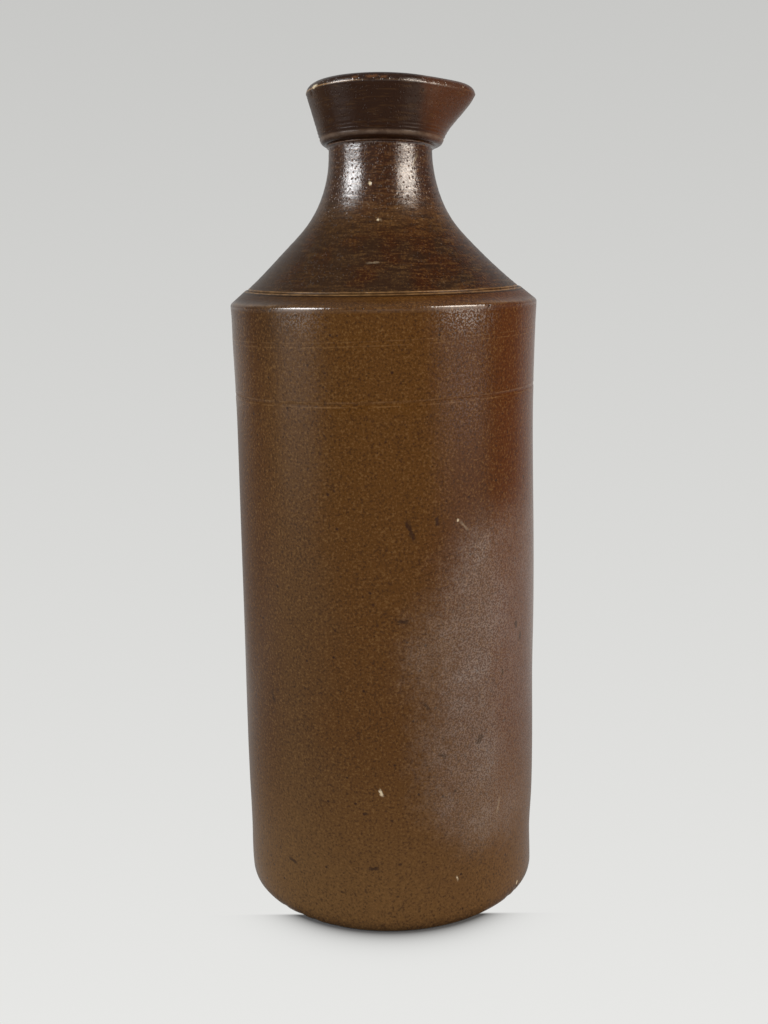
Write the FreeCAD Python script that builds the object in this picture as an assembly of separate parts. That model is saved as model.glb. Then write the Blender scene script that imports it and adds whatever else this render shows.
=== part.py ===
"""Stoneware ink bottle with a pouring lip, thrown in one piece and salt-glazed.

Millimetres and degrees. The origin is on the bottle's axis, on the surface it stands on. +Z is up and
the spout points along +X.
"""

import FreeCAD, Part
import math
import os

Vector = FreeCAD.Vector

# Body: a nearly straight cylinder that swells a little low down and draws in under the shoulder.
foot_radius = 45.2
foot_bevel = 1.1
foot_flare = 1.0
belly_top_radius = 45.36
belly_top_height = 95.0
waist_height = 140.0
shoulder_radius = 45.3
shoulder_round = 1.3
body_height = 180.5

# Shoulder: a sloping band, a tooled groove with a small ledge, then the concave rise to the neck.
shoulder_slope = 39.2
band_width = 4.6
groove_ledge = 1.1
groove_undercut = 0.35
groove_step = 0.55
cove_radius = 133.8
cove_bend_slope = 48.6
neck_radius = 14.95
neck_straight = 1.3

# Collar: a flared ring round the top of the neck, drawn out on one side into the spout.
collar_foot_radius = 17.0
collar_foot_round = 1.7
rim_radius = 22.0
collar_rise = 16.4
foot_pull = 0.7
spout_pull = 5.9
spout_start = 1.6
spout_finish = 1.6
spout_spread = 23.0
collar_lean = 3.3
collar_lean_towards = 73.0

# Lip: a bevel outside, a rounded edge inside, and the walls left round the funnel.
lip_height = 2.2
lip_depth = 1.9
lip_inner_round = 1.5
lip_inner_turn = 60.0
rim_wall = 4.6
spout_wall = 4.0

# Hollow: the straight bore that takes the cork, and the room for the ink.
bore_radius = 10.0
bore_length = 17.0
throat_round = 8.0
inner_shoulder_drop = 3.0
body_wall = 6.5
base_thickness = 8.0
inner_foot_bevel = 5.0

# How finely the collar's rings are drawn, and how far pieces of one wall run into each other.
ring_points = 32
flank_rings = 5
edge_rings = 3
overlap = 1.0


def point(radius, height):
    """A point of the turned profile, in the plane that holds the axis."""
    return Vector(radius, 0, height)


def direction(angle):
    """The profile's direction at that many degrees above level, outwards."""
    return point(math.cos(math.radians(angle)), math.sin(math.radians(angle)))


def line(start, end):
    return Part.LineSegment(start, end).toShape()


def rounded_corner(corner, arriving, leaving, size):
    """The arc of that radius that rounds a corner, between its arriving and leaving directions."""
    half_turn = arriving.getAngle(leaving) / 2
    back = size * math.tan(half_turn)
    middle = (leaving - arriving).normalize()
    top = corner + middle * (size / math.cos(half_turn) - size)
    return Part.Arc(corner - arriving * back, top, corner + leaving * back)


def tangent_arc(start, heading, end):
    """The arc that leaves start along heading and reaches end, and its heading there."""
    chord = end - start
    across = chord - heading * chord.dot(heading)
    centre = start + across * (chord.dot(chord) / (2 * across.dot(across)))
    radius = (start - centre).Length
    middle = centre + ((start + end) / 2 - centre).normalize() * radius
    end_heading = chord * (2 * chord.dot(heading) / chord.dot(chord)) - heading
    return Part.Arc(start, middle, end).toShape(), end_heading


def turning_arc(start, angle, end_angle, size):
    """The arc of that radius that leaves start in one direction and turns clockwise to another."""
    centre = start + direction(angle - 90) * size
    middle = centre - direction((angle + end_angle) / 2 - 90) * size
    return Part.Arc(start, middle, centre - direction(end_angle - 90) * size)


def turned(edges):
    """The solid that a closed profile makes when it is thrown on the wheel."""
    face = Part.Face(Part.Wire(edges))
    return face.revolve(Vector(0, 0, 0), Vector(0, 0, 1), 360)


# The body and neck, as one turned solid.
lean = math.radians(collar_lean)
inwards = direction(180)
up = direction(90)
band = direction(180 - shoulder_slope)
shoulder = point(shoulder_radius, body_height)
band_top = shoulder + band * (band_width / -band.x)
groove_root = band_top + inwards * (groove_ledge + groove_undercut)
cove_foot = band_top + inwards * groove_ledge + up * groove_step
cove_bend = 180 - cove_bend_slope
lower_cove = turning_arc(cove_foot, 180 - shoulder_slope, cove_bend, cove_radius)
neck_curve = (lower_cove.EndPoint.x - neck_radius) / (1 - math.sin(math.radians(cove_bend)))
upper_cove = turning_arc(lower_cove.EndPoint, cove_bend, 90, neck_curve)
neck_top = upper_cove.EndPoint.z + neck_straight
turned_top = neck_top + neck_radius * math.tan(lean) + overlap

foot = point(foot_radius, foot_bevel)
belly_top = point(belly_top_radius, belly_top_height)
belly_side, taper = tangent_arc(foot, direction(90 - foot_flare), belly_top)
waist = belly_top + taper * ((waist_height - belly_top_height) / taper.z)


def outer_profile():
    heel = point(foot_radius - foot_bevel, 0)
    shoulder_heading = tangent_arc(waist, taper, shoulder)[1]
    rounding = rounded_corner(shoulder, shoulder_heading, band, shoulder_round)
    return [
        line(point(0, 0), heel),
        line(heel, foot),
        belly_side,
        line(belly_top, waist),
        tangent_arc(waist, taper, rounding.StartPoint)[0],
        rounding.toShape(),
        line(rounding.EndPoint, band_top),
        line(band_top, groove_root),
        line(groove_root, cove_foot),
        lower_cove.toShape(),
        upper_cove.toShape(),
        line(upper_cove.EndPoint, point(neck_radius, turned_top)),
        line(point(neck_radius, turned_top), point(0, turned_top)),
        line(point(0, turned_top), point(0, 0)),
    ]


# The hollow, as a second turned solid. Its bore runs up through the mouth.
narrowest_radius = min(foot_radius, waist.x, shoulder_radius)
inner_radius = narrowest_radius - body_wall
bore_foot = neck_top - bore_length
open_top = neck_top + 2 * collar_rise


def inner_profile():
    heel = point(inner_radius - inner_foot_bevel, base_thickness)
    wall_foot = point(inner_radius, base_thickness + inner_foot_bevel)
    wall_top = point(inner_radius, body_height - inner_shoulder_drop)
    centre = point(bore_radius + throat_round, bore_foot)
    reach = centre - wall_top
    swing = math.asin(throat_round / reach.Length)
    slope = math.degrees(math.atan2(reach.z, reach.x) + swing)
    throat_start = centre - direction(slope - 90) * throat_round
    throat = turning_arc(throat_start, slope, 90, throat_round)
    return [
        line(point(0, base_thickness), heel),
        line(heel, wall_foot),
        line(wall_foot, wall_top),
        line(wall_top, throat_start),
        throat.toShape(),
        line(throat.EndPoint, point(bore_radius, open_top)),
        line(point(bore_radius, open_top), point(0, open_top)),
        line(point(0, open_top), point(0, base_thickness)),
    ]


# The collar, as bands lofted through level rings that grow a beak on the spout's side.
def beaked_ring(radius, pull, height):
    """A closed ring of that radius, pulled out by pull towards +X, height above the neck's top."""
    points = []
    for step in range(ring_points):
        turn = 360.0 * step / ring_points
        off_spout = min(turn, 360.0 - turn)
        reach = radius + pull * math.exp(-((off_spout / spout_spread) ** 2))
        angle = math.radians(turn)
        points.append(Vector(reach * math.cos(angle), reach * math.sin(angle), neck_top + height))
    curve = Part.BSplineCurve()
    even = list(range(ring_points + 1))
    curve.interpolate(Points=points, PeriodicFlag=True, Parameters=even)
    return Part.Wire(curve.toShape())


def lofted(rings):
    return Part.makeLoft(rings, True, False)


def drawn_out(height, start, finish):
    """0 below start, 1 above finish and soft between them, as a thumb draws out the wall."""
    share = min(max((height - start) / (finish - start), 0.0), 1.0)
    return share * share * (3 - 2 * share)


def shares(count):
    """That many even shares from 0 to 1."""
    return [step / (count - 1) for step in range(count)]


def outer_pull(height):
    drawn = drawn_out(height, spout_start, collar_rise - spout_finish)
    return foot_pull + drawn * (spout_pull - foot_pull)


flare = math.atan((rim_radius - collar_foot_radius) / collar_rise)
arris_height = collar_rise - lip_height


def flank_radius(height):
    return collar_foot_radius + height * math.tan(flare)


def foot_band():
    """The rounded lower edge of the collar, an arc from its underside to its flank."""
    rise = collar_foot_round * (1 - math.sin(flare))
    centre = flank_radius(rise) - collar_foot_round * math.cos(flare)
    rings = []
    for share in shares(edge_rings):
        turn = share * (math.pi / 2 - flare)
        radius = centre + collar_foot_round * math.sin(turn)
        height = collar_foot_round * (1 - math.cos(turn))
        rings.append(beaked_ring(radius, outer_pull(height), height))
    return lofted(rings)


def flank_band():
    """The flared flank of the collar, up to the arris under the lip."""
    start = collar_foot_round * (1 - math.sin(flare))
    rings = []
    for share in shares(flank_rings):
        height = start + share * (arris_height - start)
        rings.append(beaked_ring(flank_radius(height), outer_pull(height), height))
    return lofted(rings)


def lip_band():
    """The bevel from the arris up to the rim."""
    arris_radius = flank_radius(arris_height)
    pull = outer_pull(arris_height)
    arris = beaked_ring(arris_radius, pull, arris_height)
    return lofted([arris, beaked_ring(arris_radius - lip_depth, pull, collar_rise)])


def funnel():
    """What the potter opened inside the collar, with a rounded edge where it meets the rim."""
    top_radius = rim_radius - rim_wall
    top_pull = rim_radius + spout_pull - spout_wall - top_radius
    last_turn = math.radians(lip_inner_turn)
    edge_start = collar_rise - lip_inner_round * math.sin(last_turn)
    widening = (top_radius - bore_radius) / edge_start
    throat = [beaked_ring(bore_radius - overlap * widening, 0, -overlap)]
    for share in shares(flank_rings):
        height = share * edge_start
        pull = share * drawn_out(height, 0, edge_start) * top_pull
        throat.append(beaked_ring(bore_radius + height * widening, pull, height))
    edge = []
    for share in shares(edge_rings):
        radius = top_radius + lip_inner_round * (1 - math.cos(share * last_turn))
        height = edge_start + lip_inner_round * math.sin(share * last_turn)
        edge.append(beaked_ring(radius, top_pull, height))
    edge.append(beaked_ring(radius + overlap * math.tan(last_turn), top_pull, height + overlap))
    return lofted(throat).fuse(lofted(edge))


def leaned(shape):
    """The collar was set on the neck a little out of level."""
    shape = shape.copy()
    towards = math.radians(collar_lean_towards)
    hinge = Vector(-math.sin(towards), math.cos(towards), 0)
    shape.rotate(Vector(0, 0, neck_top), hinge, collar_lean)
    return shape


def bottle():
    collar = foot_band().fuse([flank_band(), lip_band()])
    shape = turned(outer_profile()).fuse(leaned(collar))
    shape = shape.cut(turned(inner_profile()))
    return shape.cut(leaned(funnel())).removeSplitter()


shape = bottle()
solid = shape.Solids[0]
os.makedirs("parts", exist_ok=True)
solid.exportStep("parts/bottle.step")
print("solids", len(shape.Solids), "valid", solid.isValid(), "volume", round(solid.Volume))
box = solid.optimalBoundingBox()
print("box", [round(v, 2) for v in (box.XMin, box.XMax, box.YMin, box.YMax, box.ZMin, box.ZMax)])
print("bore from", round(bore_foot, 2), "to", round(neck_top, 2))
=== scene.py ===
import math

import bpy
import numpy as np
from mathutils import Matrix, Vector, noise


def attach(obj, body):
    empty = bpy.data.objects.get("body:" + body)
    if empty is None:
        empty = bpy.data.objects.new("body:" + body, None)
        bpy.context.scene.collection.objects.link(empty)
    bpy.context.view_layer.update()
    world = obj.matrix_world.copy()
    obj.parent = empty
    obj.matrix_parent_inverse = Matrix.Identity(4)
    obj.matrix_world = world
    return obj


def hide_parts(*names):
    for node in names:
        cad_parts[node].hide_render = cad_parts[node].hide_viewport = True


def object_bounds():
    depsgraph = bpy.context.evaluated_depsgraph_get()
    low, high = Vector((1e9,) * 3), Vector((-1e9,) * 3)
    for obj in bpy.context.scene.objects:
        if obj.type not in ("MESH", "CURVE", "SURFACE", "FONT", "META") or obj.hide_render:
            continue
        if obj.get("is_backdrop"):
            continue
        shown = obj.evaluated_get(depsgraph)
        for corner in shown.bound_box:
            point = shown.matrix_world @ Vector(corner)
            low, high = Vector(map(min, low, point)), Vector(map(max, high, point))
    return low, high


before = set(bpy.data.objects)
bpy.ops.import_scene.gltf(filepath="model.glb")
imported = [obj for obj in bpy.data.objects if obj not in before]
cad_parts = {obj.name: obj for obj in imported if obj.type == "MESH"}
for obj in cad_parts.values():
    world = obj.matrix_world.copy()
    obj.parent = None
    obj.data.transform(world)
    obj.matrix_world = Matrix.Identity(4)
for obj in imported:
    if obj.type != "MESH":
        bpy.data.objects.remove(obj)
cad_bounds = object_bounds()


# The bottle is one lump of clay thrown on the wheel. Its profile is drawn here in millimetres as on a
# potter's template, from the middle of the base up the outside, over the lip and down the inside, and
# is then spun about the axis.
mm = 0.001
turns = 320

base_hollow = 0.3
base_ring_width = 6.0
foot_radius = 45.2
foot_bevel = 1.1
belly_flare = 1.0
belly_top_radius = 45.36
belly_top_height = 95.0
waist_height = 140.0
shoulder_radius = 45.3
shoulder_round = 1.3
body_height = 180.5
shoulder_slope = 39.2
band_width = 4.6
groove_ledge = 1.1
groove_depth = 0.4
groove_step = 0.55
cove_size = 133.8
cove_bend = 48.6
neck_radius = 14.95
neck_straight = 1.3
seat_ring_radius = 15.7
seat_ring_height = 0.7
collar_foot_radius = 17.0
collar_foot_round = 1.7
rim_radius = 22.0
collar_rise = 16.4
lip_height = 2.2
lip_depth = 1.9
lip_crown = 0.35
lip_inner_round = 1.5
rim_wall = 4.6
spout_wall = 4.0
foot_pull = 0.7
spout_pull = 5.9
spout_start = 1.6
spout_finish = 1.6
bore_radius = 10.0
bore_length = 17.0
throat_round = 8.0
inner_shoulder_drop = 3.0
body_wall = 6.5
base_thickness = 8.0
inner_foot_bevel = 5.0

# The tool lines that the potter scored round the body, as heights, depths and half widths.
upper_line = 171.2
lower_line = 155.2
line_depth = 0.1
line_half_width = 0.55
collar_lines = ((2.0, 0.16, 0.34), (3.0, 0.1, 0.3), (3.9, 0.09, 0.3), (5.4, 0.06, 0.35), (7.9, 0.05, 0.4))

profile = []


def draw(radius, height, pull=0.0):
    """Adds a point to the template, with how far the thumb draws it out at the spout."""
    profile.append((radius, height, pull))


def arc(radius, height, angle, end_angle, size, count):
    """Points of an arc that starts there in one direction, in degrees, and turns to another."""
    side = 90 if end_angle > angle else -90
    middle_r = radius + size * math.cos(math.radians(angle + side))
    middle_z = height + size * math.sin(math.radians(angle + side))
    points = []
    for step in range(1, count + 1):
        turn = math.radians(angle + (end_angle - angle) * step / count + side)
        points.append((middle_r - size * math.cos(turn), middle_z - size * math.sin(turn)))
    return points


def dip(place, middle, depth, half_width):
    """How deep a scored line with slightly raised lips is at that place."""
    off = (place - middle) / half_width
    return depth * (math.exp(-off * off * 2) - 0.45 * math.exp(-((abs(off) - 1.6) * 2.2) ** 2))


belly_slope = math.tan(math.radians(belly_flare))
belly_span = belly_top_height - foot_bevel
belly_curve = (foot_radius + belly_slope * belly_span - belly_top_radius) / belly_span ** 2
taper = belly_slope - 2 * belly_curve * belly_span
waist_radius = belly_top_radius + taper * (waist_height - belly_top_height)
waist_span = body_height - waist_height
waist_curve = (shoulder_radius - waist_radius - taper * waist_span) / waist_span ** 2


def side_radius(height):
    """The body's swelling side, with its scored lines."""
    if height < belly_top_height:
        up = height - foot_bevel
        radius = foot_radius + belly_slope * up - belly_curve * up * up
    elif height < waist_height:
        radius = belly_top_radius + taper * (height - belly_top_height)
    else:
        up = height - waist_height
        radius = waist_radius + taper * up + waist_curve * up * up
    radius -= dip(height, upper_line, 0.5 * line_depth, line_half_width)
    return radius - dip(height, lower_line, line_depth, line_half_width)


draw(0, base_hollow)
draw(0.5 * foot_radius, base_hollow)
draw(foot_radius - foot_bevel - 1.1 * base_ring_width, base_hollow)
draw(foot_radius - foot_bevel - base_ring_width, base_hollow)
draw(foot_radius - foot_bevel - 0.8 * base_ring_width, 0)
draw(foot_radius - 1.4 * foot_bevel, 0)
draw(foot_radius - 0.85 * foot_bevel, 0.1 * foot_bevel)
draw(foot_radius - 0.45 * foot_bevel, 0.45 * foot_bevel)
draw(foot_radius - 0.12 * foot_bevel, 0.95 * foot_bevel)

height = 1.6 * foot_bevel
while height < body_height - 1.2 * shoulder_round:
    draw(side_radius(height), height)
    near_line = min(abs(height - upper_line), abs(height - lower_line)) < 4 * line_half_width
    height += 0.3 if near_line else min(3.6, 0.9 + 0.12 * height)

shoulder_flare = math.degrees(math.atan(taper + 2 * waist_curve * waist_span))
edge_angle = 90 - shoulder_flare
band_angle = 180 - shoulder_slope
edge_back = shoulder_round * math.tan(math.radians(0.5 * (band_angle - edge_angle)))
edge_start = body_height - edge_back
draw(side_radius(edge_start), edge_start)
for radius, height in arc(side_radius(edge_start), edge_start, edge_angle, band_angle, shoulder_round, 9):
    draw(radius, height)

# The sloping band, the groove cut above it, and the concave rise to the neck.
band_run = math.tan(math.radians(shoulder_slope))
band_start = profile[-1][0]
band_start_height = profile[-1][1]
band_top = shoulder_radius - band_width
band_top_height = body_height + band_run * band_width
for share in (0.2, 0.45, 0.7, 0.88):
    radius = band_start + share * (band_top - band_start)
    draw(radius, band_start_height + share * (band_top_height - band_start_height))
groove_height = band_top_height
draw(band_top, groove_height)
draw(band_top - 0.2, groove_height + 0.12)
draw(band_top - 0.55, groove_height + 0.02)
draw(band_top - 0.8, groove_height - groove_depth)
draw(band_top - 1.05, groove_height - 0.5 * groove_depth)
cove_foot = band_top - groove_ledge
cove_foot_height = groove_height + groove_step
draw(cove_foot - 0.06, groove_height + 0.3 * groove_step)
draw(cove_foot + 0.04, groove_height + 0.8 * groove_step)
draw(cove_foot - 0.1, cove_foot_height + 0.12)


def throwing_lines(height, strength):
    """The rings that fingers leave in turned clay."""
    broad = noise.noise(Vector((0.0, 3.1, height * 0.9)))
    fine = noise.noise(Vector((5.0, 0.0, height * 2.1)))
    return strength * (broad + 0.7 * fine)


lower_cove = arc(cove_foot - 0.12, cove_foot_height + 0.1, band_angle, 180 - cove_bend, cove_size, 44)
bend_radius, bend_height = lower_cove[-1]
neck_curve = (bend_radius - neck_radius) / (1 - math.sin(math.radians(cove_bend)))
upper_cove = arc(bend_radius, bend_height, 180 - cove_bend, 90, neck_curve, 52)
neck_top = upper_cove[-1][1] + neck_straight
for radius, height in lower_cove:
    draw(radius + throwing_lines(height, 0.06), height)
for radius, height in upper_cove:
    draw(radius + throwing_lines(height, 0.03), height)

# The seat ring under the collar, then the collar's rounded foot and its flared flank.
seat = neck_top - seat_ring_height
draw(neck_radius, seat - 0.5)
draw(neck_radius + 0.15, seat)
draw(seat_ring_radius - 0.15, seat + 0.1)
draw(seat_ring_radius, seat + 0.3)
draw(seat_ring_radius - 0.1, seat + 0.5)
draw(seat_ring_radius - 0.4, neck_top - 0.06)
flare = math.atan((rim_radius - collar_foot_radius) / collar_rise)
arris_height = collar_rise - lip_height


def drawn_out(height, start, finish):
    """0 below start, 1 above finish and soft between them, as a thumb draws out the wall."""
    share = min(max((height - start) / (finish - start), 0.0), 1.0)
    return share * share * (3 - 2 * share)


def flank_radius(height):
    return collar_foot_radius + height * math.tan(flare)


def outer_pull(height):
    drawn = drawn_out(height, spout_start, collar_rise - spout_finish)
    return foot_pull + drawn * (spout_pull - foot_pull)


foot_rise = collar_foot_round * (1 - math.sin(flare))
foot_start = flank_radius(foot_rise) - collar_foot_round * math.cos(flare)
draw(foot_start, neck_top + 0.02, outer_pull(0))
for radius, height in arc(foot_start, 0, 0, 90 - math.degrees(flare), collar_foot_round, 9):
    draw(radius, neck_top + height, outer_pull(height))
height = foot_rise + 0.3
while height < arris_height - 0.5:
    radius = flank_radius(height) + throwing_lines(height + 7, 0.05)
    for line_height, depth, half_width in collar_lines:
        radius -= dip(height, line_height, depth, half_width)
    draw(radius, neck_top + height, outer_pull(height))
    height += 0.25 if height < 4.6 else 0.6

# The lip: a worn arris, a crowned bevel, the rim and the rounded edge inside it.
arris_radius = flank_radius(arris_height)
lip_pull = outer_pull(arris_height)
draw(arris_radius - 0.12, neck_top + arris_height - 0.35, lip_pull)
draw(arris_radius + 0.02, neck_top + arris_height - 0.1, lip_pull)
draw(arris_radius - 0.05, neck_top + arris_height + 0.15, lip_pull)
for share in (0.2, 0.4, 0.6, 0.8, 0.93):
    proud = lip_crown * math.sin(math.pi * share)
    lip_level = neck_top + arris_height + lip_height * share + proud * 0.6
    draw(arris_radius - lip_depth * share + proud, lip_level, lip_pull)
top_radius = rim_radius - rim_wall
inner_pull = rim_radius + spout_pull - spout_wall - top_radius
rim_height = neck_top + collar_rise
draw(arris_radius - lip_depth - 0.1, rim_height, lip_pull)
inner_edge = top_radius + 0.5 * lip_inner_round
draw(inner_edge + 0.1, rim_height, 0.5 * (lip_pull + inner_pull))
for radius, height in arc(inner_edge, rim_height, 210, 270, lip_inner_round, 6):
    draw(radius, height, inner_pull)

# The funnel inside the collar, the bore for the cork and the hollow of the body.
funnel_top = profile[-1][1] - neck_top
funnel_rings = 16
for ring in range(1, funnel_rings + 1):
    share = 1 - ring / funnel_rings
    rise = share * funnel_top
    radius = bore_radius + (top_radius - bore_radius) * share + throwing_lines(rise + 31, 0.1)
    draw(radius, neck_top + rise, share * drawn_out(rise, 0, funnel_top) * inner_pull)
bore_foot = neck_top - bore_length
for share in (0.15, 0.5, 0.85, 1.0):
    draw(bore_radius, neck_top - share * bore_length)
inner_radius = waist_radius - body_wall
wall_top = body_height - inner_shoulder_drop
for radius, height in arc(bore_radius, bore_foot, 270, 316, throat_round, 5):
    draw(radius, height)
draw(inner_radius, wall_top)
draw(inner_radius, 0.5 * wall_top)
draw(inner_radius, base_thickness + inner_foot_bevel)
draw(inner_radius - inner_foot_bevel, base_thickness)
draw(0, base_thickness)

# The template is drawn by extruding a corner of a small plane from point to point, and spun.
bpy.ops.object.select_all(action="DESELECT")
bpy.ops.mesh.primitive_plane_add(size=mm)
bottle = bpy.context.object
bottle.name = "stoneware_bottle"
bottle.data.name = "stoneware_bottle"
bpy.ops.object.mode_set(mode="EDIT")
bpy.ops.mesh.merge(type="CENTER")
bpy.ops.transform.translate(value=(profile[0][0] * mm, 0, profile[0][1] * mm))
for before, after in zip(profile, profile[1:]):
    step = ((after[0] - before[0]) * mm, 0, (after[1] - before[1]) * mm)
    bpy.ops.mesh.extrude_region_move(TRANSFORM_OT_translate={"value": step})
bpy.ops.object.mode_set(mode="OBJECT")
rows = bottle.data.attributes.new("template_row", "INT", "POINT")
rows.data.foreach_set("value", list(range(len(profile))))
bpy.ops.object.mode_set(mode="EDIT")
bpy.ops.mesh.select_all(action="SELECT")
bpy.ops.mesh.spin(steps=turns, angle=2 * math.pi, center=(0, 0, 0), axis=(0, 0, 1))
bpy.ops.mesh.select_all(action="SELECT")
bpy.ops.mesh.remove_doubles(threshold=0.0005 * mm)
bpy.ops.mesh.normals_make_consistent(inside=False)
bpy.ops.object.mode_set(mode="OBJECT")
bpy.ops.object.shade_smooth()

# Then the hand works on it: the thumb pulls the spout, the collar leans, the lines run a little out of
# level, the wall wavers, and knocks have taken small chips from the foot and the lip.
spout_spread = 23.0
crease_angle = 49.0
crease_pull = 0.35
collar_lean = 3.3
collar_lean_towards = 73.0
groove_tilt = 1.1
upper_line_tilt = 1.5
lower_line_tilt = 1.2
line_tilt_spread = 5.0

# The wall's waver, as heights, spreads, sides in degrees and amounts. No ring grows past the widest.
widest = 45.6
waver = (
    (84.0, 30.0, 180.0, -0.33),
    (37.0, 6.0, 180.0, 0.3),
    (6.0, 7.0, 180.0, 0.35),
    (67.0, 14.0, 0.0, -0.22),
    (14.0, 9.0, 0.0, -0.5),
    (110.0, 22.0, 0.0, 0.16),
    (178.0, 6.0, 180.0, -0.3),
    (194.0, 7.0, 180.0, 0.6),
    (203.0, 8.0, 0.0, -0.3),
    (130.0, 30.0, 90.0, -0.3),
    (60.0, 25.0, 60.0, -0.2),
)

# The chips, as angles, radii, heights, sizes and depths. Those of the foot slant up and of the lip down.
chip_slant_up = 3
chip_slant_down = -4
chips = (
    (-128.0, 45.0, 0.6, 2.4, 0.5),
    (-122.0, 45.0, 0.3, 1.8, 0.45),
    (-137.0, 45.1, 0.5, 1.6, 0.4),
    (-112.0, 44.9, 0.3, 1.5, 0.3),
    (-38.0, 45.1, 0.9, 1.8, 0.35),
    (-33.0, 45.1, 1.2, 1.4, 0.3),
    (70.0, 45.0, 0.5, 2.2, 0.45),
    (-158.0, 21.1, 238.6, 1.5, 0.4),
    (-146.0, 21.3, 238.4, 1.1, 0.25),
    (-97.0, 20.8, 240.6, 1.6, 0.25),
    (-78.0, 20.9, 240.4, 1.3, 0.2),
)

count = len(bottle.data.vertices)
flat = np.empty(count * 3)
bottle.data.vertices.foreach_get("co", flat)
places = flat.reshape(count, 3) / mm
row = np.empty(count, dtype=int)
bottle.data.attributes["template_row"].data.foreach_get("value", row)
bottle.data.attributes.remove(bottle.data.attributes["template_row"])
drawn = np.array(profile)[row]
radius = drawn[:, 0]
level = drawn[:, 1]
around = np.arctan2(places[:, 1], places[:, 0])
degrees = np.degrees(around)

spout = np.exp(-(degrees / spout_spread) ** 2)
crease = np.clip((crease_angle - np.abs(degrees)) / crease_angle, 0, 1) * (1 - spout)
reach = radius + drawn[:, 2] * (spout + crease_pull * crease)
on_body = (radius > inner_radius + 1) | (level > wall_top)
for height, spread, side, amount in waver:
    share = np.exp(-((level - height) / spread) ** 2)
    facing = 0.5 + 0.5 * np.cos(around - math.radians(side))
    reach += np.where(on_body & (radius > bore_radius + 3), amount * share * facing, 0)
reach = np.minimum(reach, widest)
z = level.copy()
for line, tilt in ((upper_line, upper_line_tilt), (lower_line, lower_line_tilt)):
    share = np.exp(-((level - line) / line_tilt_spread) ** 2)
    z += math.tan(math.radians(tilt)) * reach * np.cos(around) * share
groove_spread = np.where(level < groove_height, 2.4, 10.0)
groove_share = np.exp(-((level - groove_height) / groove_spread) ** 2)
z += math.tan(math.radians(groove_tilt)) * reach * np.sin(around) * groove_share
places = np.stack((reach * np.cos(around), reach * np.sin(around), z), axis=1)

share = np.clip((level - neck_top + 7) / 6, 0, 1)
share = share * share * (3 - 2 * share)
towards = math.radians(collar_lean_towards)
hinge = Vector((-math.sin(towards), math.cos(towards), 0))
turn = np.array(Matrix.Rotation(math.radians(collar_lean), 3, hinge))
pivot = np.array((0, 0, neck_top))
leaned = (places - pivot) @ turn.T + pivot
places += share[:, None] * (leaned - places)
for angle, out, height, size, depth in chips:
    spot = np.array((out * math.cos(math.radians(angle)), out * math.sin(math.radians(angle)), height))
    off = np.linalg.norm(places - spot, axis=1)
    for index in np.nonzero(off < size)[0]:
        rough = 0.75 + 0.5 * noise.noise(Vector(places[index]) * 1.7)
        bite = depth * rough * (1 - off[index] / size)
        slant = chip_slant_up if height < body_height else chip_slant_down
        axis_point = np.array((0, 0, places[index][2] + slant))
        inwards = axis_point - places[index]
        places[index] += bite * inwards / np.linalg.norm(inwards)
places[:, 2] = np.clip(places[:, 2], 0, cad_bounds[1][2] / mm)
bottle.data.vertices.foreach_set("co", (places * mm).ravel())
bottle.data.update()
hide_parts("bottle")
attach(bottle, "root")


# The salt glaze: soda vapour melts on the clay in the kiln, to an orange-peel skin that is olive brown
# where it is thick and red brown where the flame licked it. The neck and collar were dipped in iron
# wash first, so they are darker. Edges are worn to the pale clay under the glaze, and some pale edges
# also carry painted highlights.
olive = (79, 50, 19)
red_brown = (71, 40, 15)
red_edge = (76, 38, 11)
grey_brown = (78, 53, 27)
left_brown_and_shade = (68, 41, 17)
foot_brown = (97, 69, 37)
dark_wash = (51, 35, 22)
red_wash = (52, 25, 9)
golden_band_colour = (80, 53, 27)
collar_wash = (39, 22, 12)
spout_wash = (68, 38, 20)
groove_shade = (24, 16, 10)
worn_edge_and_highlight = (150, 116, 76)
bead_reflection_grey = (116, 98, 84)
crown_gold = (124, 84, 52)
speck_and_shade = (40, 25, 15)
fleck = (112, 82, 46)
bare_clay_and_highlight = (204, 188, 158)
sheen_grey = (146, 126, 110)

# Where the golden band on the cove and the glossy patch lie, in millimetres. The patch's left edge is at
# its furthest at the belly, and leans to the right above it, below it and again near the foot.
gold_height = 204.5
gold_spread = 8.5
patch_top = 132.0
patch_foot = 29.0
patch_belly = 90.0
patch_edge = 5.5
patch_lean_above = 0.52
patch_lean_below = 0.09
patch_corner = 40.0
patch_corner_lean = 0.45

# The skin: the stretch of its throwing rings, the depth of its peel, and the gloss of thin and of melted
# glaze.
ring_stretch = 0.12
skin_depth = 0.12
thin_index = 1.2
thin_roughness = 0.24
melted_index = 1.9
melted_roughness = 0.3


def paint(rgb):
    """An sRGB colour of 0 to 255 as the shader's numbers."""
    linear = []
    for part in rgb:
        part = part / 255
        linear.append(part / 12.92 if part <= 0.04045 else ((part + 0.055) / 1.055) ** 2.4)
    return (*linear, 1.0)


class Amount:
    """A number that varies over a surface. Sums, differences and products of amounts add Math nodes."""

    def __init__(self, brush, socket):
        self.brush = brush
        self.socket = socket

    def math(self, operation, *others):
        values = [self] + list(others)
        node = self.brush.add("ShaderNodeMath", {"operation": operation}, dict(enumerate(values)))
        return Amount(self.brush, node.outputs[0])

    def __add__(self, other):
        return self.math("ADD", other)

    __radd__ = __add__

    def __sub__(self, other):
        return self.math("SUBTRACT", other)

    def __rsub__(self, other):
        return self.brush.number(other).math("SUBTRACT", self)

    def __mul__(self, other):
        return self.math("MULTIPLY", other)

    def larger(self, other):
        return self.math("MAXIMUM", other)


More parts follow.
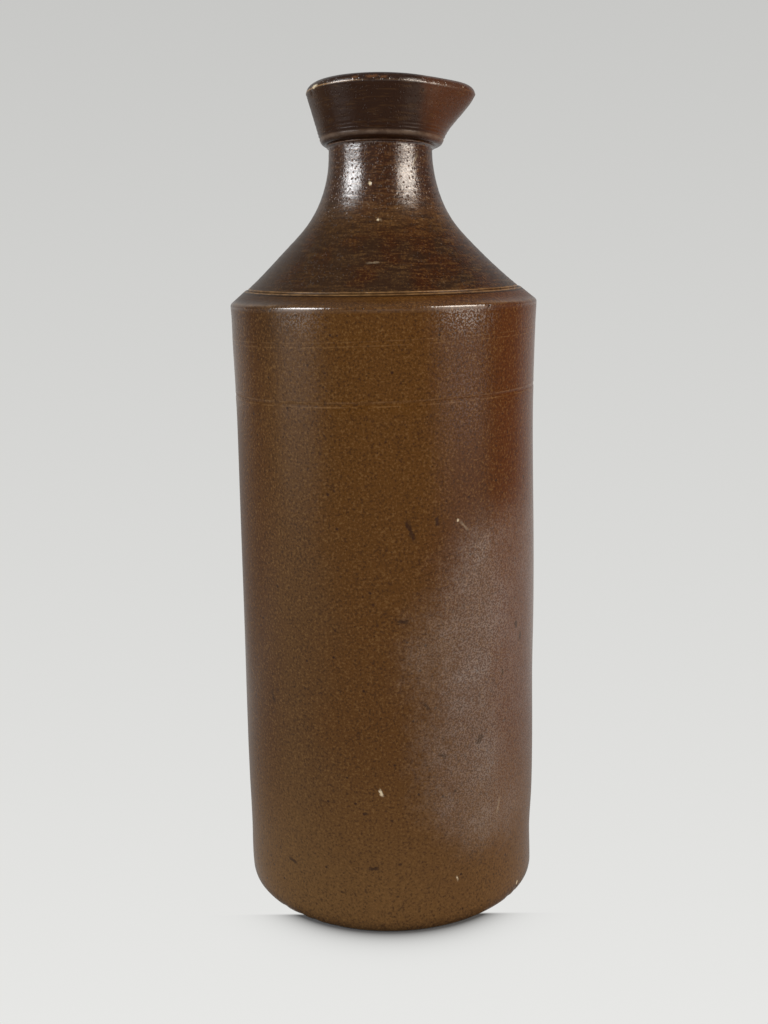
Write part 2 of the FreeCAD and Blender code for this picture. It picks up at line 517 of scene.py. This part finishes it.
class Brush:
    """Adds nodes to one material or world."""

    def __init__(self, tree):
        self.tree = tree
        tree.nodes.clear()

    def add(self, kind, settings=None, sockets=None):
        node = self.tree.nodes.new(kind)
        for name, value in (settings or {}).items():
            setattr(node, name, value)
        for name, value in (sockets or {}).items():
            if isinstance(value, Amount):
                value = value.socket
            if isinstance(value, bpy.types.NodeSocket):
                self.tree.links.new(value, node.inputs[name])
            else:
                node.inputs[name].default_value = value
        return node

    def number(self, value):
        node = self.add("ShaderNodeValue")
        node.outputs[0].default_value = value
        return Amount(self, node.outputs[0])

    def ramp(self, value, start, finish):
        """0 at start, 1 at finish and soft between them."""
        settings = {"interpolation_type": "SMOOTHSTEP"}
        node = self.add("ShaderNodeMapRange", settings, {0: value, 1: start, 2: finish})
        return Amount(self, node.outputs[0])

    def band(self, value, middle, half_width):
        """1 at the middle and 0 at half a width from it."""
        off = (value - middle).math("ABSOLUTE")
        return self.ramp(off, half_width, 0.0)

    def cloud(self, place, size, detail=2.0, roughness=0.5):
        """Noise of about 0 to 1 whose spots are that many millimetres across."""
        sockets = {"Vector": place, "Scale": 1 / size, "Detail": detail, "Roughness": roughness}
        node = self.add("ShaderNodeTexNoise", {}, sockets)
        return Amount(self, node.outputs[0])

    def cells(self, place, size):
        """The distance to the nearest of scattered points, in cells of that many millimetres."""
        node = self.add("ShaderNodeTexVoronoi", {}, {"Vector": place, "Scale": 1 / size})
        return Amount(self, node.outputs["Distance"])

    def mix(self, share, first, second):
        """The second colour over the first, by that share."""
        first = paint(first) if isinstance(first, tuple) else first
        second = paint(second) if isinstance(second, tuple) else second
        settings = {"data_type": "RGBA", "clamp_factor": True}
        node = self.add("ShaderNodeMix", settings, {0: share, 6: first, 7: second})
        return node.outputs[2]

    def vector(self, operation, first, second):
        node = self.add("ShaderNodeVectorMath", {"operation": operation}, {0: first, 1: second})
        return node.outputs[0]

    def away(self, place, spot):
        """The distance from that spot, in millimetres."""
        node = self.add("ShaderNodeVectorMath", {"operation": "DISTANCE"}, {0: place, 1: spot})
        return Amount(self, node.outputs[1])


def largest(amounts):
    """The largest of several amounts."""
    most = amounts[0]
    for amount in amounts[1:]:
        most = most.larger(amount)
    return most


glaze = bpy.data.materials.new("salt_glaze")
glaze.use_nodes = True
brush = Brush(glaze.node_tree)
where = brush.add("ShaderNodeTexCoord").outputs["Object"]
place = brush.vector("MULTIPLY", where, (1 / mm, 1 / mm, 1 / mm))
axes = brush.add("ShaderNodeSeparateXYZ", {}, {0: place})
x = Amount(brush, axes.outputs[0])
y = Amount(brush, axes.outputs[1])
z = Amount(brush, axes.outputs[2])
stretched = brush.vector("MULTIPLY", place, (ring_stretch, ring_stretch, 1.0))
groove_z = z - y * math.tan(math.radians(groove_tilt))
lean_sine = math.sin(math.radians(collar_lean))
rise = z - neck_top + x * (lean_sine * math.cos(towards)) + y * (lean_sine * math.sin(towards))

drift = brush.cloud(place, 34.0, 3.0)
mottle = brush.cloud(place, 9.0, 3.0)
blotch = brush.cloud(place, 3.0, 2.0, 0.6)
grain = brush.cloud(place, 0.7, 2.0, 0.7)
glint = brush.cloud(place, 0.45, 1.0)
peel = brush.cloud(place, 1.5, 2.0, 0.55)
rings = brush.cloud(stretched, 0.6, 2.0, 0.6)

# Colour of the body.
sway = drift * 16.0 + mottle * 10.0 - 13.0
redness = brush.ramp(x + sway, 8.0, 24.0)
body_colour = brush.mix(redness * 0.9, olive, red_brown)
body_colour = brush.mix(brush.ramp(x + sway * 0.3, 26.0, 34.0) * 0.8, body_colour, red_edge)
greyness = brush.ramp(x + sway, -10.0, -26.0)
body_colour = brush.mix(greyness * 0.85, body_colour, grey_brown)
# Painted shade: the left edge and the upper left of the body are darkened where the side turns from the
# light; the left edge is also a redder brown.
left_edge = brush.ramp(x + sway * 0.3, -28.0, -38.0)
body_colour = brush.mix(left_edge * 0.8, body_colour, left_brown_and_shade)
top_left = brush.ramp(z + sway * 0.3, 158.0, 176.0) * brush.ramp(x + sway * 0.3, -18.0, -32.0)
body_colour = brush.mix(top_left * 0.3, body_colour, speck_and_shade)
low = brush.ramp(z + sway * 0.5, 66.0, 2.0)
body_colour = brush.mix(low * 0.8, body_colour, foot_brown)
# Painted shade along the bottom few millimetres, where the foot rounds under.
body_colour = brush.mix(brush.ramp(z, 4.5, 1.0) * 0.5, body_colour, speck_and_shade)
body_colour = brush.mix(brush.ramp(grain, 0.53, 0.68) * 0.5, body_colour, fleck)
body_colour = brush.mix(brush.ramp(grain, 0.48, 0.33) * 0.6, body_colour, speck_and_shade)

# Colour of the neck and the collar.
reddened = mottle + x * 0.004 + brush.ramp(z, 204.0, 214.0) * 0.4
wash_colour = brush.mix(brush.ramp(reddened, 0.4, 0.62), dark_wash, red_wash)
# A lighter golden band round the cove.
wash_colour = brush.mix(brush.band(z + sway * 0.3, gold_height, gold_spread) * 0.6, wash_colour, golden_band_colour)
wash_colour = brush.mix(brush.ramp(rings, 0.5, 0.68) * 0.24, wash_colour, fleck)
wash_colour = brush.mix(brush.ramp(grain, 0.52, 0.68) * 0.4, wash_colour, fleck)
wash_colour = brush.mix(brush.ramp(rings, 0.52, 0.34) * 0.7, wash_colour, speck_and_shade)
wash_colour = brush.mix(brush.ramp(grain, 0.5, 0.36) * 0.55, wash_colour, speck_and_shade)
colour = brush.mix(brush.ramp(groove_z, groove_height - 0.3, groove_height + 0.5), body_colour, wash_colour)
band_dark = brush.ramp(groove_z, body_height, body_height + 1.5) * brush.ramp(x + mottle * 30.0, 30.0, -20.0)
colour = brush.mix(band_dark * 0.6, colour, dark_wash)
spout_side = brush.ramp(x + mottle * 6.0, 12.0, 18.0)
collar_left = brush.ramp(x + mottle * 8.0, -6.0, -16.0)
collar_colour = brush.mix(spout_side, collar_wash, spout_wash)
collar_colour = brush.mix(collar_left * 0.6, collar_colour, dark_wash)
collar_colour = brush.mix(brush.ramp(rings, 0.52, 0.7) * 0.1, collar_colour, fleck)
on_collar = brush.ramp(rise, -0.4, 0.2)
colour = brush.mix(on_collar, colour, collar_colour)

# Pale edges: worn glaze on the scored lines and the foot, worn glaze with painted highlights on the
# shoulder and the arris, and painted highlights on the groove's two lips.
patchy = brush.ramp(brush.cloud(place, 3.0, 3.0, 0.6), 0.35, 0.62)
off_front = brush.ramp(x.math("ABSOLUTE"), 8.0, 34.0)
# The shoulder line is worn glaze and a painted highlight, stronger towards the sides.
shoulder_wear_and_highlight = brush.band(z, body_height + 0.3, 0.7) * (0.04 + patchy * 0.3) * (off_front * 0.7 + 0.1)
# Painted highlights on the groove's two lips, patchy.
lip_low = brush.band(groove_z, groove_height + 0.02, 0.3)
lip_high = brush.band(groove_z, cove_foot_height + 0.05, 0.28)
groove_lip_highlights = lip_low.larger(lip_high) * (0.25 + patchy * 0.45)
upper_z = z - x * math.tan(math.radians(upper_line_tilt))
lower_z = z - x * math.tan(math.radians(lower_line_tilt))
upper_edge = (upper_z - upper_line).math("ABSOLUTE")
lower_edge = (lower_z - lower_line).math("ABSOLUTE")
line_wear = (brush.band(lower_edge, 0.62, 0.3) * 0.2 + brush.band(upper_edge, 0.6, 0.28) * 0.16) * patchy
# The arris line, strongest on the left, is worn glaze and a painted highlight.
arris_left = brush.ramp(x, -3.0, -10.0)
arris_wear_and_highlight = brush.band(rise, arris_height, 0.3) * (patchy * 0.12 + arris_left * 0.65)
foot_wear = brush.ramp(z, 1.1, 0.2) * patchy * 0.35
# Wear and painted highlights together, in the pale edge colour.
wear_and_highlight = largest([shoulder_wear_and_highlight, groove_lip_highlights, line_wear, arris_wear_and_highlight, foot_wear])
colour = brush.mix(wear_and_highlight, colour, worn_edge_and_highlight)
# Painted reflection: a grey band on the collar's foot bead and a fainter line on the seat ring, patchy.
bead_reflection = (brush.band(rise, 1.4, 0.9) * 0.5).larger(brush.band(rise, -0.45, 0.2) * 0.25)
colour = brush.mix(bead_reflection * (0.5 + patchy * 0.5), colour, bead_reflection_grey)
groove_dark = brush.band(groove_z, groove_height - 0.3, 0.35)
colour = brush.mix(groove_dark * 0.8, colour, groove_shade)

# Iron specks in the clay, larger burnt spots where they lie, and chips down to the pale clay.
specks = brush.ramp(brush.cells(place, 5.2), 0.1, 0.05) * brush.ramp(brush.cloud(place, 7.0, 1.0), 0.42, 0.5)
small = brush.ramp(brush.cells(place, 2.1), 0.16, 0.08) * brush.ramp(brush.cloud(place, 4.0, 1.0), 0.44, 0.54)
colour = brush.mix((specks * 0.85).larger(small * 0.6), colour, speck_and_shade)

ragged = brush.cloud(place, 0.6, 2.0) * 2.4 - 1.2


def stroke(angle, out, height, half_width, half_length, tilt):
    """A mark that tapers to both ends, at that many degrees right of the front."""
    turn = math.radians(angle - 90)
    middle = Vector((out * math.cos(turn), out * math.sin(turn), height))
    across = math.cos(math.radians(tilt))
    run = Vector((-math.sin(turn) * across, math.cos(turn) * across, math.sin(math.radians(tilt))))
    node = brush.add("ShaderNodeVectorMath", {"operation": "DOT_PRODUCT"}, {0: place, 1: run})
    along = (Amount(brush, node.outputs[1]) - middle.dot(run)).math("ABSOLUTE")
    off = brush.away(place, middle) - along * (1 - half_width / half_length)
    core = max(half_width - 0.3, 0.4 * half_width)
    return brush.ramp(off + ragged * half_width * 0.6, half_width + 0.15, core)


# Burnt marks on the side, as angle, height, half width, half length and tilt.
burnt_marks = (
    (8.0, 120.8, 0.32, 3.2, 110.0),
    (-48.9, 68.3, 0.34, 2.0, 111.0),
    (-41.0, 17.9, 0.4, 1.8, 165.0),
    (-7.0, 20.7, 0.4, 1.8, 5.0),
    (5.0, 95.3, 0.4, 1.8, 175.0),
    (55.1, 87.8, 0.7, 1.4, 100.0),
    (58.4, 83.4, 0.6, 1.6, 80.0),
    (34.4, 57.1, 0.8, 1.7, 60.0),
    (18.9, 54.6, 0.5, 1.2, 150.0),
    (23.6, 43.1, 0.42, 0.5, 0.0),
    (-9.7, 38.0, 0.5, 0.8, 20.0),
    (2.6, 22.1, 0.45, 0.7, 10.0),
    (0.0, 36.0, 0.4, 0.5, 0.0),
    (1.7, 11.8, 0.4, 0.5, 0.0),
    (-19.3, 12.2, 0.4, 0.45, 0.0),
    (-19.2, 92.3, 0.4, 0.5, 90.0),
    (-5.4, 100.3, 0.4, 0.5, 0.0),
    (-37.0, 73.5, 0.4, 0.45, 0.0),
    (17.5, 122.8, 0.4, 1.2, 100.0),
    (46.3, 75.1, 0.6, 1.0, 90.0),
    (13.0, 70.0, 0.4, 1.6, 130.0),
)
burnt = largest([stroke(mark[0], side_radius(mark[1]), *mark[1:]) for mark in burnt_marks])
colour = brush.mix(burnt * 0.8, colour, speck_and_shade)

# Chips and scratches down to the pale clay, as angle, radius, height, half width, half length and tilt.
# The last mark, on the lip, is a painted highlight, and the first chip's pale spot is partly its painted
# highlight.
chip_and_highlight_marks = (
    (25.5, 45.0, 122.7, 0.3, 0.42, 60.0),
    (-3.8, 45.6, 44.7, 0.3, 1.0, 110.0),
    (24.8, 45.4, 14.8, 0.25, 0.8, 100.0),
    (58.5, 45.2, 3.0, 0.3, 0.6, 60.0),
    (-10.9, 16.4, 213.3, 0.4, 0.6, 80.0),
    (-2.8, 21.2, 203.4, 0.3, 0.5, 60.0),
    (-4.4, 37.8, 186.3, 0.2, 0.3, 0.0),
    (-60.5, 20.7, 239.8, 0.3, 1.2, 10.0),
    (73.0, 24.2, 239.1, 0.3, 0.6, 170.0),
)
pale = largest([stroke(*mark) for mark in chip_and_highlight_marks])
colour = brush.mix(pale * 0.9, colour, bare_clay_and_highlight)
scratch_marks = (
    (28.0, 45.0, 120.9, 0.12, 1.2, 132.0),
    (43.9, 45.6, 33.9, 0.1, 1.6, 74.5),
    (39.0, 15.2, 219.6, 0.08, 1.2, 60.0),
    (-2.7, 31.6, 191.9, 0.22, 0.5, 0.0),
    (-5.0, 31.6, 191.7, 0.14, 1.1, 5.0),
    (-1.2, 21.2, 203.8, 0.15, 0.8, 100.0),
)
scratches = largest([stroke(*mark) for mark in scratch_marks])
colour = brush.mix(scratches * 0.17, colour, bare_clay_and_highlight)
# Brownish-gold marks on the middle of the lip's crown.
crown_gold_marks = (
    (-19.3, 20.0, 240.6, 0.4, 1.0, 10.0),
    (-6.0, 20.0, 240.7, 0.3, 1.5, 0.0),
    (3.0, 20.1, 240.4, 0.25, 0.9, 0.0),
)
crown_gold_share = largest([stroke(*mark) for mark in crown_gold_marks])
colour = brush.mix(crown_gold_share * 0.35, colour, crown_gold)

# Gloss: the wash fluxed the glaze on the neck, and vapour lay thick on the right of the body.
above_belly = (z - patch_belly).larger(0.0)
below_belly = (patch_belly - z).larger(0.0)
in_corner = (patch_corner - z).larger(0.0)
patch_left = patch_edge + above_belly * patch_lean_above + below_belly * patch_lean_below
patch_left = patch_left + in_corner * patch_corner_lean
patch_sway = mottle * 12.0 + blotch * 6.0 + grain * 8.0 - 13.0
veil = brush.ramp(x + patch_sway - patch_left, -8.0, 16.0)
veil = veil * brush.ramp(z + blotch * 10.0, patch_foot - 9.0, patch_foot + 9.0)
veil = veil * brush.ramp(z + blotch * 9.0 + mottle * 8.0, patch_top + 8.0, patch_top - 8.0)
veil = veil * (1.0 - brush.ramp(x, 26.0, 44.0) * 0.5)
glitter = brush.ramp(glint, 0.42, 0.6)
# Painted sheen: a pale grey tint over the glossy patch, speckled by the glitter.
colour = brush.mix(veil * (0.08 + glitter * 0.17), colour, sheen_grey)
bare_spots = brush.ramp(peel, 0.5, 0.64) * brush.ramp(z, 98.0, 114.0) * 0.7
thin_spots = brush.ramp(brush.cloud(place, 12.0, 4.0, 0.6), 0.66, 0.38) * 0.5
patch = veil * (1.0 - bare_spots) * (1.0 - thin_spots) * (1.0 - burnt * 0.8)
patch = patch * (0.35 + glitter * 0.55)
under_edge = brush.ramp(z, body_height - 9.5, body_height - 1.5)
under_edge = under_edge * brush.ramp(z, body_height - 0.3, body_height - 1.1)
sheen_right = brush.band(x, 22.0, 13.0) * (brush.ramp(z, 134.0, 156.0) * 0.2 + under_edge * 0.95)
sheen_left = brush.band(x, -22.0, 11.0) * (brush.ramp(z, 140.0, 166.0) * 0.09 + under_edge * 0.45)
sheen = (sheen_right + sheen_left) * brush.ramp(glint, 0.46, 0.66)
neck_gloss = brush.ramp(groove_z, groove_height + 16.0, groove_height + 25.0)
neck_gloss = neck_gloss * brush.ramp(rise, -0.2, -0.8) * (1.0 - brush.band(x, 2.0, 5.0) * 0.5)
edge_gloss = brush.band(z, body_height + 0.2, 2.0)
lip_gloss = brush.ramp(rise, arris_height - 0.5, arris_height)
pits = brush.ramp(brush.cells(place, 1.0), 0.34, 0.2)
on_neck = brush.ramp(groove_z, groove_height, groove_height + 1.0)
pitted = pits * brush.ramp(brush.cloud(place, 1.7, 1.0), 0.38, 0.5) * on_neck
neck_gloss = neck_gloss * (0.5 + brush.ramp(grain, 0.36, 0.6) * 0.42) * (1.0 - pitted * 0.85)
cove_gloss = on_neck * brush.ramp(groove_z, groove_height + 24.0, groove_height + 8.0) * 0.11
coat = largest([patch, sheen, neck_gloss, cove_gloss, edge_gloss, lip_gloss * 0.8])

skin = peel * 0.5 + grain * 0.45 + rings * on_neck * 0.1
relief = skin - pitted * 0.5 - specks * 0.4 - small * 0.3 - pale * 0.6
bump = brush.add("ShaderNodeBump", {}, {"Strength": 1.0, "Distance": skin_depth * mm, "Height": relief})
melt_roughness = melted_roughness - (on_neck * 0.09).larger(edge_gloss * 0.18)
surface = {"Base Color": colour, "Normal": bump.outputs[0]}
thin_glaze = {**surface, "Roughness": thin_roughness, "IOR": thin_index}
melted_glaze = {**surface, "Roughness": melt_roughness, "IOR": melted_index}
satin = brush.add("ShaderNodeBsdfPrincipled", {}, thin_glaze)
glossy = brush.add("ShaderNodeBsdfPrincipled", {}, melted_glaze)
glaze_cover = brush.add("ShaderNodeMixShader", {}, {0: coat, 1: satin.outputs[0], 2: glossy.outputs[0]})
brush.add("ShaderNodeOutputMaterial", {}, {"Surface": glaze_cover.outputs[0]})
bottle.data.materials.append(glaze)


# The camera, a little above the shoulder and looking down at the bottle.
camera_place = (-0.00079, -0.34136, 0.19181)
camera_pitch = 12.47
camera_roll = 0.99
camera_lens = 39.70
film_width = 36.0
data = bpy.data.cameras.new("camera")
data.lens = camera_lens
data.sensor_width = film_width
data.sensor_fit = "AUTO"
data.clip_start = 0.01
camera = bpy.data.objects.new("camera", data)
bpy.context.scene.collection.objects.link(camera)
pitched = Matrix.Rotation(math.radians(90 - camera_pitch), 4, "X")
rolled = Matrix.Rotation(math.radians(-camera_roll), 4, "Z")
camera.matrix_world = Matrix.Translation(camera_place) @ pitched @ rolled
bpy.context.scene.camera = camera
bpy.context.scene.view_settings.view_transform = "Standard"


# The studio: a plain pale floor, and a pale paper that fades from the floor's tone up to a light grey.
floor_size = 12.0
floor_drop = 0.02
paper_far = (200, 200, 198)
paper_near = (231, 231, 229)
contact_shade = (92, 92, 94)
shade_line = 0.3063
shade_line_tilt = 0.0175
shade_softness = 0.0006
shade_strength = 0.96
shade_left_per_mm = 0.757
bpy.ops.object.select_all(action="DESELECT")
bpy.ops.mesh.primitive_plane_add(size=floor_size, location=(0, 0, -floor_drop * mm))
floor = bpy.context.object
floor.name = "floor"
bpy.ops.object.transform_apply(location=True, rotation=False, scale=False)
floor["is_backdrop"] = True
paper = bpy.data.materials.new("pale_paper")
paper.use_nodes = True
brush = Brush(paper.node_tree)
where = brush.add("ShaderNodeTexCoord").outputs["Object"]
axes = brush.add("ShaderNodeSeparateXYZ", {}, {0: where})
aside = Amount(brush, axes.outputs[0])
forward = Amount(brush, axes.outputs[1])
depth = forward - camera_place[1]
pitch_slope = math.tan(math.radians(camera_pitch))
drop = camera_place[2] - depth * pitch_slope
fade = drop.math("DIVIDE", depth + camera_place[2] * pitch_slope) * (camera_lens / film_width) + 0.5
tone = brush.mix(fade, paper_far, paper_near)

# Mirrored in the glaze, the floor is darker where no window lights it, close to the bottle and behind it.
rays = brush.add("ShaderNodeLightPath")
wide = aside.math("ABSOLUTE")
apart = brush.add("ShaderNodeVectorMath", {"operation": "LENGTH"}, {0: where})
out = (Amount(brush, apart.outputs[1]) * (1 / mm) - foot_radius).larger(0.0)
unlit = brush.ramp(wide, 0.55, 0.75) * brush.ramp(forward - wide * 0.6, 0.1, -0.1) * 0.8
close = brush.ramp(out, 260.0, 40.0) * (brush.ramp(forward, -0.08, 0.02) * 0.5 + 0.08)
behind = brush.ramp(out, 1500.0, 900.0) * brush.ramp(wide, 0.05, 0.2) * brush.ramp(forward, 0.05, 0.15)
behind = behind * (brush.ramp(aside, 0.05, -0.05) * 0.5 + 0.1)
shaded = largest([unlit, close, behind])
tone = brush.mix(shaded * Amount(brush, rays.outputs["Is Glossy Ray"]), tone, contact_shade)
glow = brush.add("ShaderNodeEmission", {}, {"Color": tone, "Strength": 1.0})

# The contact shade: it fades with the distance from the foot and starts at a line across the floor.
matt = brush.add("ShaderNodeBsdfDiffuse", {}, {"Color": paint(contact_shade)})
past_line = depth + aside * shade_line_tilt - shade_line
in_front = brush.ramp(past_line, shade_softness, -shade_softness)
at_back = brush.ramp(forward, 0.0, 0.03) * brush.ramp(wide, 0.046, 0.034)
shade = brush.number(shade_left_per_mm).math("POWER", out) * shade_strength
near = shade * in_front.larger(at_back)
both = brush.add("ShaderNodeMixShader", {}, {0: near, 1: glow.outputs[0], 2: matt.outputs[0]})
brush.add("ShaderNodeOutputMaterial", {}, {"Surface": both.outputs[0]})
floor.data.materials.append(paper)

# The room: dim all round and paler at the back, where the camera and some of the gloss see the paper.
room_dim = (84, 84, 85)
room_pale = (135, 135, 135)
paper_level = 0.256
paper_rise = 1.24
paper_mirrored = 0.35
world = bpy.data.worlds.new("studio")
bpy.context.scene.world = world
world.use_nodes = True
brush = Brush(world.node_tree)
way = brush.add("ShaderNodeTexCoord").outputs["Generated"]
axes = brush.add("ShaderNodeSeparateXYZ", {}, {0: way})
up = Amount(brush, axes.outputs[2])
back = Amount(brush, axes.outputs[1])
paper_tone = brush.mix(paper_level - up * paper_rise, paper_far, paper_near)
rays = brush.add("ShaderNodeLightPath")
behind = brush.ramp(back, 0.5, 0.65)
mirrored = Amount(brush, rays.outputs["Is Glossy Ray"]).larger(rays.outputs["Is Transmission Ray"])
seen = (mirrored * behind * paper_mirrored).larger(rays.outputs["Is Camera Ray"])
room_tone = brush.mix(behind, room_dim, room_pale)
tone = brush.mix(seen, room_tone, paper_tone)
sky = brush.add("ShaderNodeBackground", {}, {"Color": tone, "Strength": 1.0})
brush.add("ShaderNodeOutputWorld", {}, {"Surface": sky.outputs[0]})

# Two tall soft windows, left and right of the camera, each with a brighter pane. The right one is warmer.
# A lamp is its name, tint, angle left of the camera, lean, distance, bottom, top, width and brightness.
daylight = (1.0, 1.0, 1.0)
warm_light = (1.0, 0.9, 0.79)
lamps = (
    ("window_left", daylight, 66.0, 0.0, 0.66, 0.02, 0.92, 0.38, 2.0),
    ("window_left_pane", daylight, 63.5, 0.0, 0.65, 0.37, 0.70, 0.39, 10.0),
    ("window_right", warm_light, -57.0, 0.0, 0.62, 0.01, 0.88, 0.44, 2.5),
    ("window_right_pane", warm_light, -59.0, -24.0, 0.61, 0.36, 0.67, 0.4, 8.0),
)
for name, tint, angle, lean, distance, bottom, top, width, brightness in lamps:
    turn = math.radians(-90 - angle)
    out = Vector((math.cos(turn), math.sin(turn), 0))
    data = bpy.data.lights.new(name, "AREA")
    data.shape = "RECTANGLE"
    data.color = tint
    data.size = width
    data.size_y = top - bottom
    data.energy = brightness * math.pi * width * (top - bottom)
    lamp = bpy.data.objects.new(name, data)
    lamp.location = out * distance + Vector((0, 0, 0.5 * (bottom + top)))
    facing = out.to_track_quat("Z", "Y").to_matrix() @ Matrix.Rotation(math.radians(lean), 3, "Z")
    lamp.rotation_euler = facing.to_euler()
    lamp.visible_camera = False
    bpy.context.scene.collection.objects.link(lamp)

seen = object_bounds()
